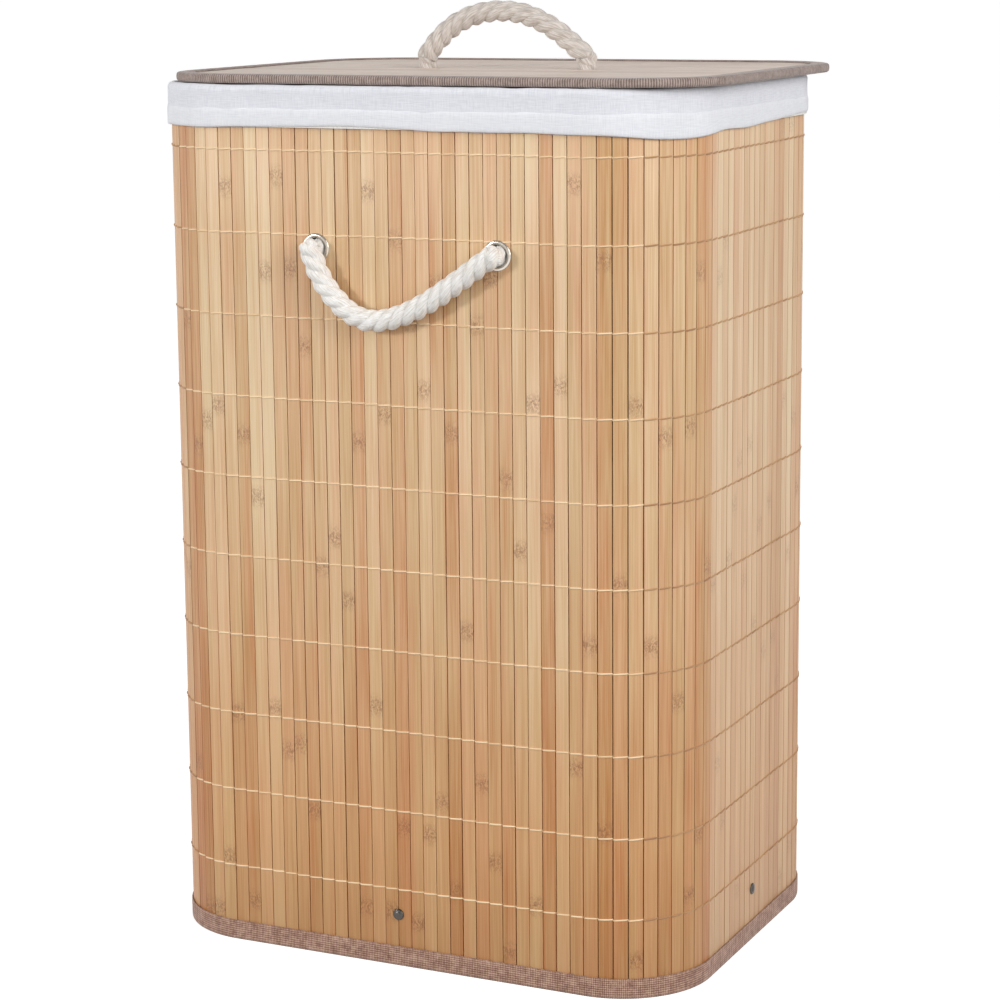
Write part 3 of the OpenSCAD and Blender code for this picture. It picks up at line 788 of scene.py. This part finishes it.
def tape_material(name, light, middle, dark, rib, cross, grooves):
    """Woven cotton tape: fine ribs and crossing threads at their real spacing, dull, and
    mottled by wear. `grooves` is the ribs' share of the relief."""
    woven, shader = new_material(name, Roughness=0.8, Sheen_Weight=0.25)
    uv = add_node(woven, "ShaderNodeUVMap", {}).outputs[0]
    place = add_node(woven, "ShaderNodeTexCoord", {}).outputs["Object"]
    ends = []
    for way, pitch in (("X", rib), ("Y", cross)):
        ends.append(add_node(woven, "ShaderNodeTexWave", {
            "Vector": uv, "Scale": math.tau / 20 / pitch, "Distortion": 0.6, "Detail": 1.0,
            "Detail Scale": 4.0}, bands_direction=way).outputs["Fac"])
    crossing = add_node(woven, "ShaderNodeMath", {0: ends[1], 1: 1 - grooves},
                        operation="MULTIPLY")
    lattice = add_node(woven, "ShaderNodeMath", {
        0: ends[0], 1: grooves, 2: crossing.outputs[0]}, operation="MULTIPLY_ADD")
    mottle = add_node(woven, "ShaderNodeTexNoise", {
        "Vector": place, "Scale": 1 / (5 * mm), "Detail": 6.0, "Roughness": 0.75})
    both = add_node(woven, "ShaderNodeMath", {
        0: lattice.outputs[0], 1: 0.55, 2: mottle.outputs[0]}, operation="MULTIPLY_ADD")
    tint = add_node(woven, "ShaderNodeValToRGB", {0: both.outputs[0]},
                    [(0.5, dark), (0.78, middle), (1.0, light)])
    link(woven, tint.outputs[0], shader.inputs["Base Color"])
    bump = add_node(woven, "ShaderNodeBump", {
        "Height": both.outputs[0], "Strength": 0.7, "Distance": 0.4 * mm})
    link(woven, bump.outputs[0], shader.inputs["Normal"])
    return woven


round_wall = 4 * (wall_width / 2 - corner_radius + wall_depth / 2 - corner_radius)
round_wall += math.tau * corner_radius
foot_edge = outline(wall_width, wall_depth, corner_radius, 2 * round(round_wall / rib_pitch))
foot_section = [
    (0.35, 14.0), (0.9, 14.05), (1.1, 13.6), (1.12, 10), (1.12, 6), (1.1, 2), (0.95, 0.6),
    (0.4, 0.1), (-1.6, 0.05), (-3.6, 0.1), (-4.3, 0.6), (-4.4, 2), (-4.4, 13.8), (-4.0, 14.05),
    (-3.6, 13.8), (-3.6, 1.0), (-1.6, 0.85), (0.2, 0.95), (0.3, 2), (0.3, 13.6),
]
foot_binding = bind("foot_binding", foot_edge, foot_section, 0.13, rib_pitch)
wall_weave = 1.25 * mm
wall_tape = tape_material("taupe_woven_tape", "#CCAA96", "#9A705C", "#634235",
                          wall_weave, wall_weave, 0.5)
foot_binding.data.materials.append(wall_tape)
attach(foot_binding, "hamper")
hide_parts("foot_tape")

lid_low, lid_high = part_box("lid_tape")
lid_middle = ((lid_low.x + lid_high.x) / 2, (lid_low.y + lid_high.y) / 2)
lid_wide, lid_deep, lid_corner = lid_high.x - lid_low.x, lid_high.y - lid_low.y, 64 * mm
round_lid = 2 * (lid_wide + lid_deep) - (8 - math.tau) * lid_corner
lid_edge = outline(lid_wide, lid_deep, lid_corner, 2 * round(round_lid / rib_pitch), lid_middle)
lid_section = [
    (-13.0, 613.75), (-13.1, 614.2), (-12.8, 614.6), (-8, 614.7), (-3, 614.65), (-1.2, 614.4),
    (-0.35, 613.6), (-0.1, 612.2), (-0.1, 611), (-0.35, 609.6), (-1.2, 608.8), (-3, 608.62),
    (-8, 608.6), (-12.8, 608.6), (-13.1, 609.0), (-13.0, 609.4), (-3, 609.42), (-1.4, 609.8),
    (-0.9, 611), (-0.9, 612.2), (-1.4, 613.4), (-3, 613.72),
]
lid_binding = bind("lid_binding", lid_edge, lid_section, 0.1, rib_pitch)
lid_tape = tape_material("grey_taupe_tape", "#B5A49C", "#907D75", "#68564F",
                         rib_pitch, 1.4 * mm, 0.8)
lid_binding.data.materials.append(lid_tape)
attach(lid_binding, "lid")
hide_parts("lid_tape")


# Lid top: the same bamboo, laid along the lid, glued to its board, rounded with it and cut for
# the two ends of the rope. Its colour is drawn paler and greyer than the wall's, as a painted
# reflection of the white studio seen at a grazing angle.
lid_bamboo = bamboo("lid_bamboo_painted_reflection", 0, [
    (0.0, "#F0DECC"), (0.4, "#DFC7B0"), (0.7, "#CBAC92"), (1.0, "#AD8C70"),
], 0.55, 0.6, "#F0E4DD")
lid_slat_low, lid_slat_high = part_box("lid_slats")
lid_slat_count = 31
lid_slat_gap = 0.6 * mm
lid_trim_inset = 1.5 * mm
lid_pitch = (lid_slat_high.y - lid_slat_low.y) / lid_slat_count
strip = plane_strip("lid_slat", 1, lid_slat_high.z - lid_slat_low.z,
                    lid_slat_low.x, lid_slat_high.x, 5)
# Turns an upright slat that faces -Y to lie along X with its face up.
lay_flat = Matrix(((0, 0, 1, 0), (-1, 0, 0, 0), (0, -1, 0, 0), (0, 0, 0, 1)))
strips = []
for k in range(lid_slat_count):
    copy = own_copy(strip)
    depth = chance.uniform(-0.1, 0.04) * mm
    for point in copy.data.vertices:
        point.co.x *= lid_pitch - lid_slat_gap
        point.co.x += 0.15 * mm * noise.noise(Vector((k * 3.3, point.co.z * 5, 0)))
        point.co.y -= depth
    copy.data.transform(Matrix.Translation(
        (0, lid_slat_low.y + (k + 0.5) * lid_pitch, lid_slat_high.z - slat_crown)) @ lay_flat)
    mark_strip(copy, chance.triangular(0, 1, 0.4), chance.uniform(-0.2, 0.2),
               chance.uniform(0.15, 0.2))
    strips.append(copy)
bpy.data.objects.remove(strip)
lid_top = join_all(strips, "lid_top_slats")
deselect()
bpy.ops.mesh.primitive_circle_add(vertices=len(lid_edge) // 8, radius=1, fill_type="NGON")
plate = bpy.context.object
rim_of_plate = outline(lid_wide - 2 * lid_trim_inset, lid_deep - 2 * lid_trim_inset,
                       lid_corner - lid_trim_inset, len(plate.data.vertices), lid_middle)
for point, (spot, out) in zip(plate.data.vertices, rim_of_plate):
    point.co = spot + Vector((0, 0, lid_slat_low.z - 1 * mm))
bpy.ops.object.mode_set(mode="EDIT")
bpy.ops.mesh.select_all(action="SELECT")
bpy.ops.mesh.extrude_region_move(TRANSFORM_OT_translate={"value": (0, 0, 4 * mm)})
bpy.ops.mesh.select_all(action="SELECT")
bpy.ops.mesh.normals_make_consistent(inside=False)
bpy.ops.object.mode_set(mode="OBJECT")
carve(lid_top, plate, "INTERSECT")
drill(lid_top, [((end.x, end.y, lid_top_z), (0, 0, 1), hole_radius, drill_length)
                for end in (line[0], line[-1])])
lid_top.data.materials.append(lid_bamboo)
select_only(lid_top)
bpy.ops.object.shade_smooth_by_angle(angle=slat_smooth_angle)
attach(lid_top, "lid")
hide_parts("lid_slats")


# Cotton liner: a loose bag that hangs inside the wall, is folded out over the rim as a cuff
# and ends in a doubled hem held by elastic. A sewn-in floor lies on the base.
liner_steps = 360
liner_thickness = 0.8 * mm
liner_inset = 10.8
liner_edge = outline(wall_width, wall_depth, corner_radius, liner_steps)
knot_places = [
    Vector((end.x, facing * (wall_depth / 2), end.z))
    for wall, facing in (("front", -1), ("back", 1))
    for end in (carrying[wall][0], carrying[wall][-1])
]
knot_bump, knot_bump_width = 23.2, 22


def crease(point, size, seed, stretch=(1, 1, 1)):
    """Soft uneven waves, between -1 and 1."""
    return noise.noise(Vector((point.x * stretch[0], point.y * stretch[1],
                               point.z * stretch[2])) / size + Vector((seed, seed * 1.7, 0)))


# The hem's uneven line: where it hangs lower or higher, by how many mm, over how wide a part.
hem_waves = [((0.19, -0.13), -4.4, 0.05), ((0.2, 0.11), 3.4, 0.08), ((-0.02, -0.15), 2.6, 0.09)]


def hem_drop(point):
    """How far the hem hangs above its even line at a place on the outline, in mm."""
    lift = 2.0 * crease(point, 0.13, 4.2) + 0.9 * crease(point, 0.045, 9.1)
    for place, height, width in hem_waves:
        lift += height * math.exp(-(math.dist(place, point[:2]) / width) ** 2)
    return lift


inside_rows, top_rows, outside_rows = 56, 12, 16
bag_rows = inside_rows + top_rows + outside_rows
bag_foot, bag_rim, cuff_end = 7.0, 604.0, 588.0
rim_starts = 560
# Where the lid's front is propped up a little by a puff in the cuff.
puff_place = Vector((0.1, -0.15, 0))


def bag_place(i, j):
    """The bag from its foot up the inside, over the rim and down the outside. `away` is how
    far it stands out from the wall's face and `z` its height, both in mm."""
    point, out = liner_edge[i % liner_steps]
    if j <= inside_rows:
        z = bag_foot + (bag_rim - bag_foot) * j / inside_rows
        near_rim = max(0, (z - rim_starts) / (bag_rim - rim_starts)) ** 2
        sag = 3.4 * abs(crease(point + Vector((0, 0, z * mm)), 0.09, 2.4, (1, 1, 0.35)))
        sag += 1.2 * crease(point + Vector((0, 0, z * mm)), 0.035, 5.0, (1, 1, 0.5)) ** 2
        away = -liner_inset + 5.6 * near_rim
        away -= sag * (1 - near_rim) * min(1, (z - bag_foot) / 40)
        for knot in knot_places:
            gap = (Vector((point.x, point.y, z * mm)) - knot).length / mm
            if gap < 60:
                bump = knot_bump * math.exp(-(gap / knot_bump_width) ** 2)
                away = min(away, -liner_inset - bump)
    elif j <= inside_rows + top_rows:
        swing = math.pi * (j - inside_rows) / top_rows
        away = -1.55 - 3.65 * math.cos(swing)
        puff = 0.45 * crease(point, 0.03, 7.7) + 0.35 * crease(point, 0.012, 1.1)
        lift = 1.5 * math.exp(-((point - puff_place).length / 0.035) ** 2)
        free = min(1, max(0, (away + 0.4) / 1.6))
        z = bag_rim + (3.6 + puff + lift * free) * math.sin(swing)
    else:
        k = (j - inside_rows - top_rows) / outside_rows
        z = bag_rim + (cuff_end - bag_rim) * k
        fold = crease(point + Vector((0, 0, z * mm)), 0.016, 6.6, (1, 1, 0.8))
        fold += 0.6 * crease(point + Vector((0, 0, z * mm)), 0.03, 8.8, (1, 1, 0.4))
        away = 2.1 + 0.42 * fold - 0.2 * math.sin(math.pi * k) + 0.25 * k
    return point + out * away * mm + Vector((0, 0, z * mm))


def cotton_cloth(name, shade, deep):
    """Plain-woven white cotton: dull and downy, with a fine uneven weave and slubs, faintly
    blue in its folds. Its threads are drawn 0.75 mm apart, coarser than real, to show."""
    cloth, shader = new_material(name, Roughness=0.9, Sheen_Weight=0.3, Sheen_Roughness=0.5)
    place = add_node(cloth, "ShaderNodeTexCoord", {}).outputs["Object"]
    uv = add_node(cloth, "ShaderNodeUVMap", {}).outputs[0]
    fine, long = 1 / (0.75 * mm), 1 / (9 * mm)
    threads = []
    for scale in ((fine, long, 1), (long, fine, 1)):
        run = add_node(cloth, "ShaderNodeVectorMath", {0: uv, 1: scale}, operation="MULTIPLY")
        threads.append(add_node(cloth, "ShaderNodeTexNoise", {
            "Vector": run.outputs[0], "Scale": 1.0, "Detail": 2.0}).outputs[0])
    weave_height = add_node(cloth, "ShaderNodeMath", {0: threads[0], 1: threads[1]},
                            operation="ADD")
    cloud = add_node(cloth, "ShaderNodeTexNoise", {
        "Vector": place, "Scale": 1 / (25 * mm), "Detail": 3.0})
    level = add_node(cloth, "ShaderNodeMath", {
        0: cloud.outputs[0], 1: 0.3, 2: weave_height.outputs[0]}, operation="MULTIPLY_ADD")
    halved = add_node(cloth, "ShaderNodeMath", {0: level.outputs[0], 1: 0.45},
                      operation="MULTIPLY")
    tint = add_node(cloth, "ShaderNodeValToRGB", {0: halved.outputs[0]},
                    [(0.3, deep), (0.62, shade)])
    link(cloth, tint.outputs[0], shader.inputs["Base Color"])
    bump = add_node(cloth, "ShaderNodeBump", {
        "Height": weave_height.outputs[0], "Strength": 0.45, "Distance": 0.35 * mm})
    link(cloth, bump.outputs[0], shader.inputs["Normal"])
    return cloth


def thicken(piece, thickness):
    """Gives a cloth its thickness, to both sides of its surface."""
    select_only(piece)
    layer = piece.modifiers.new("cloth", "SOLIDIFY")
    layer.thickness = thickness
    layer.offset = 0
    bpy.ops.object.modifier_apply(modifier="cloth")
    bpy.ops.object.shade_smooth()


white_cotton = cotton_cloth("white_cotton", "#E8E9EF", "#D3D4DC")
bag_flat = (round_wall - math.tau * liner_inset * mm, 0.655)
bag = bend_grid("cotton_bag", liner_steps, bag_rows, bag_flat, bag_place)
# The weave follows the cloth's real length up, over and down.
climb = [0]
for j in range(bag_rows):
    climb.append(climb[-1] + (bag_place(0, j + 1) - bag_place(0, j)).length)
for corner in bag.data.uv_layers.active.data:
    corner.uv.y = climb[round(corner.uv.y / bag_flat[1] * bag_rows)]
thicken(bag, liner_thickness)
bag.data.materials.append(white_cotton)
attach(bag, "hamper")
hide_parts("liner_bag")

hem_foot, hem_height = 578.6, 13.7
hem_section = [
    (2.2, 592.6), (2.7, 591.7), (3.05, 589.7), (3.1, 587), (3.05, 584), (3.1, 581.5),
    (3.0, 579.6), (2.5, 578.7), (1.6, 578.6), (0.95, 579.5), (0.8, 582), (0.8, 588),
    (1.0, 591.3), (1.6, 592.4),
]


def hem_place(i, j):
    """The doubled hem round the cuff's lower edge, waved most along its foot."""
    point, out = liner_edge[i % liner_steps]
    away, z = hem_section[j % len(hem_section)]
    low = 1 - (z - hem_foot) / hem_height
    z += hem_drop(point) * low + 0.5 * crease(point, 0.03, 3.3)
    if away > 2.2:
        away += 0.28 * crease(point + Vector((0, 0, z * mm)), 0.018, 6.6, (1, 1, 0.8))
    return point + out * away * mm + Vector((0, 0, z * mm))


hem_band = 0.016
hem_flat = (round_wall + math.tau * 2 * mm, hem_band)
hem = bend_grid("doubled_hem", liner_steps, len(hem_section), (hem_flat[0], 2 * hem_band),
                hem_place)
hem_cotton = cotton_cloth("white_hem_cotton", "#ECEDF1", "#DCDDE3")
hem.data.materials.append(hem_cotton)
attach(hem, "hamper")
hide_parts("liner_hem")

floor_rings = 14
floor_inset = liner_inset * mm
floor_edge = outline(wall_width - 2 * floor_inset, wall_depth - 2 * floor_inset,
                     corner_radius - floor_inset, liner_steps)


def floor_place(i, j):
    """The sewn-in floor, in rings from its middle out, a little rippled."""
    point, _ = floor_edge[i % liner_steps]
    share = j / floor_rings
    ripple = 0.5 * crease(point * share, 0.06, 2.2) + 0.3
    return Vector((point.x * share, point.y * share, (6.2 + ripple) * mm))


floor_cloth = bend_grid("liner_floor_panel", liner_steps, floor_rings, (1.2, 0.14), floor_place)
for face in floor_cloth.data.polygons:
    for k in face.loop_indices:
        spot = floor_cloth.data.vertices[floor_cloth.data.loops[k].vertex_index].co
        floor_cloth.data.uv_layers.active.data[k].uv = (spot.x, spot.y)
thicken(floor_cloth, liner_thickness)
floor_cloth.data.materials.append(white_cotton)
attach(floor_cloth, "hamper")
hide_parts("liner_floor")


# Eyelets and studs: bright nickel eyelets rolled round the rope holes, and small press studs
# of darkened nickel at the foot of each wall and on the hinge straps.
def spin_part(name, section, steps, place, way):
    """A round part spun from its section, given in mm as (radius, out from the face)."""
    deselect()
    bpy.ops.mesh.primitive_circle_add(vertices=len(section), radius=1)
    part = bpy.context.object
    part.name = name
    for point, (radius, out) in zip(part.data.vertices, section):
        point.co = (radius * mm, 0, out * mm)
    bpy.ops.object.mode_set(mode="EDIT")
    bpy.ops.mesh.select_all(action="SELECT")
    bpy.ops.mesh.spin(steps=steps, angle=math.tau, center=(0, 0, 0), axis=(0, 0, 1))
    bpy.ops.mesh.select_all(action="SELECT")
    bpy.ops.mesh.remove_doubles(threshold=0.005 * mm)
    bpy.ops.mesh.delete_loose(use_verts=True, use_edges=True, use_faces=False)
    bpy.ops.mesh.select_all(action="SELECT")
    bpy.ops.mesh.normals_make_consistent(inside=False)
    bpy.ops.object.mode_set(mode="OBJECT")
    bpy.ops.object.shade_smooth()
    turn = Vector(way).to_track_quat("Z", "Y").to_matrix().to_4x4()
    part.data.transform(Matrix.Translation(place) @ turn)
    return part


def plated(name, shade, rough):
    """Plated metal: mirror-like, with a soft unevenness from wear in its gloss."""
    metal, shader = new_material(name, Metallic=1.0, Base_Color=paint(shade))
    place = add_node(metal, "ShaderNodeTexCoord", {}).outputs["Object"]
    wear = add_node(metal, "ShaderNodeTexNoise", {
        "Vector": place, "Scale": 1 / (2 * mm), "Detail": 3.0})
    spread = add_node(metal, "ShaderNodeMapRange", {
        "Value": wear.outputs[0], "To Min": rough * 0.7, "To Max": rough * 1.6})
    link(metal, spread.outputs[0], shader.inputs["Roughness"])
    return metal


nickel = plated("bright_nickel", "#CFCAC2", 0.2)
eyelet_section = [
    (10.0, 0.1), (10.15, 0.5), (9.9, 0.95), (9.2, 1.3), (8.4, 1.35), (7.6, 1.05), (7.15, 0.5),
    (7.05, -0.2), (7.05, -4.3), (7.4, -4.3), (7.4, 0.1),
]
for wall, facing in (("front", 1), ("back", -1)):
    rings = [
        spin_part("eyelet", eyelet_section, 64,
                  (end.x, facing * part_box("front_slats")[0].y, end.z), (0, -facing, 0))
        for end in (carrying[wall][0], carrying[wall][-1])
    ]
    pair = join_all(rings, wall + "_eyelet_rings")
    pair.data.materials.append(nickel)
    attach(pair, "hamper")
    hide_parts(wall + "_eyelets")

stud_section = [(0, -0.2), (4.0, -0.2), (4.1, 0.45), (3.7, 1.05), (3.2, 1.15), (2.9, 1.0),
                (2.5, 1.35), (1.4, 1.75), (0, 1.85)]
stud_z = (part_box("stud_caps")[0].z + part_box("stud_caps")[1].z) / 2
stud_offset = 5 * mm
stud_spots = [
    ((-stud_offset, -wall_depth / 2, stud_z), (0, -1, 0)),
    ((stud_offset, wall_depth / 2, stud_z), (0, 1, 0)),
    ((wall_width / 2, 0, stud_z), (1, 0, 0)),
    ((-wall_width / 2, 0, stud_z), (-1, 0, 0)),
]
studs = [spin_part("stud", stud_section, 32, place, way) for place, way in stud_spots]
wall_studs = join_all(studs, "press_studs")
stud_metal = plated("dark_nickel", "#55524F", 0.28)
wall_studs.data.materials.append(stud_metal)
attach(wall_studs, "hamper")
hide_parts("stud_caps")

strap_places = (-110 * mm, 110 * mm)
strap_face = wall_depth / 2 + 2.1 * mm
strap_stud_z = (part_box("strap_studs")[0].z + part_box("strap_studs")[1].z) / 2
studs = [spin_part("strap_stud", stud_section, 32, (x, strap_face, strap_stud_z), (0, 1, 0))
         for x in strap_places]
hinge_studs = join_all(studs, "hinge_strap_studs")
hinge_studs.data.materials.append(stud_metal)
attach(hinge_studs, "hamper")
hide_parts("strap_studs")


# Hinge straps: two pieces of the wall's tape, 40 mm wide. Each is fixed to the back wall by a
# stud, steps out over the cuff, runs up to the rim, folds there and is sewn under the lid.
strap_width, strap_thickness = 40 * mm, 0.8 * mm
# The path's places are (y, z) in mm.
strap_path = [(151.7, 544.4), (151.7, 560), (151.7, 572), (151.9, 574.5), (153.2, 577.2),
              (153.9, 579.5), (153.9, 590), (153.9, 600), (154.0, 604), (154.4, 606.1),
              (155.6, 606.9), (157.5, 606.92), (159.3, 606.93)]
strap_path += [(159.35 + 0.55 * math.sin(a), 607.45 - 0.55 * math.cos(a))
               for a in (0.5, 1.0, 1.57, 2.1, 2.64)]
strap_path += [(159.3, 608.0), (157, 608.0), (150, 608.0), (140, 608.0), (130, 608.0),
               (124.8, 608.0)]


def strap(name, middle):
    """One strap along its path, with rounded edges."""
    cross = [(-0.5, 0), (-0.496, 0.4), (-0.48, 0.5), (-0.25, 0.5), (0, 0.5), (0.25, 0.5),
             (0.48, 0.5), (0.496, 0.4), (0.5, 0), (0.496, -0.4), (0.48, -0.5), (0.25, -0.5),
             (0, -0.5), (-0.25, -0.5), (-0.48, -0.5), (-0.496, -0.4)]
    line = [Vector((middle, y * mm, z * mm)) for y, z in strap_path]
    rings = [line[0]]
    for a, b in zip(line, line[1:]):
        cuts = max(1, round((b - a).length / (2 * mm)))
        rings += [a.lerp(b, n / cuts) for n in range(1, cuts + 1)]
    last = len(rings) - 1

    def place(i, j):
        i = min(max(i - 1, 0), last)
        along = (rings[min(i + 1, last)] - rings[max(i - 1, 0)]).normalized()
        across = Vector((1, 0, 0))
        up = across.cross(along)
        x, y = cross[j % len(cross)]
        return rings[i] + across * x * strap_width + up * y * strap_thickness

    def ended(i, j):
        # The first and last rings close to a point.
        return place(i, j) if 0 < i < last + 2 else rings[0 if i == 0 else last]

    length = sum((b - a).length for a, b in zip(rings, rings[1:]))
    return bend_grid(name, last + 2, len(cross), (length, 2 * strap_width), ended)


straps = join_all([strap("strap", x) for x in strap_places], "hinge_straps")
straps.data.materials.append(wall_tape)
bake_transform(straps)
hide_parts("wall_straps", "lid_straps")


# Parts that stay as the CAD made them get their real finishes: the backing cloth behind the
# slats, the hidden boards, the lining, the rim's tape and wire and the base with its cover.
def cloth_or_board(name, light, dark, grain, rough):
    """A dull woven or fibrous finish: two near tones, mottled at the given grain, with the
    faint relief of its threads or fibres."""
    finish, shader = new_material(name, Roughness=rough)
    place = add_node(finish, "ShaderNodeTexCoord", {}).outputs["Object"]
    mottle = add_node(finish, "ShaderNodeTexNoise", {
        "Vector": place, "Scale": 1 / grain, "Detail": 4.0, "Roughness": 0.7})
    tint = add_node(finish, "ShaderNodeValToRGB", {0: mottle.outputs[0]},
                    [(0.35, dark), (0.65, light)])
    link(finish, tint.outputs[0], shader.inputs["Base Color"])
    bump = add_node(finish, "ShaderNodeBump", {
        "Height": mottle.outputs[0], "Strength": 0.4, "Distance": 0.2 * mm})
    link(finish, bump.outputs[0], shader.inputs["Normal"])
    return finish


# Woven cloths are dull, the board shows pressed fibres, elastic is smoother, and galvanised
# wire is a greyer and duller metal than nickel.
backing = cloth_or_board("brown_backing_cloth", "#99693F", "#7C5230", 0.9 * mm, 0.9)
lining = cloth_or_board("beige_lining_cloth", "#CDBFA9", "#B8A88F", 1.1 * mm, 0.9)
fibreboard = cloth_or_board("hardboard", "#8A6642", "#6F4F31", 2.5 * mm, 0.8)
dark_cloth = cloth_or_board("dark_base_cloth", "#5C4E45", "#473B34", 0.9 * mm, 0.9)
elastic = cloth_or_board("white_elastic", "#ECEBE6", "#D6D4CE", 1.0 * mm, 0.8)
wire = plated("galvanised_wire", "#9C9C9A", 0.35)
for node, finish in (
    ("wall_backing", backing), ("wall_join_tape", wall_tape), ("rim_tape", wall_tape),
    ("rim_wire", wire), ("base_board", fibreboard), ("base_cover", dark_cloth),
    ("base_tabs", dark_cloth), ("stud_sockets", stud_metal), ("eyelet_washers", nickel),
    ("liner_elastic", elastic), ("lid_board", fibreboard), ("lid_lining", lining),
):
    cad_piece = bpy.data.objects[node]
    if cad_piece.material_slots:
        for slot in cad_piece.material_slots:
            slot.material = finish
    else:
        cad_piece.data.materials.append(finish)
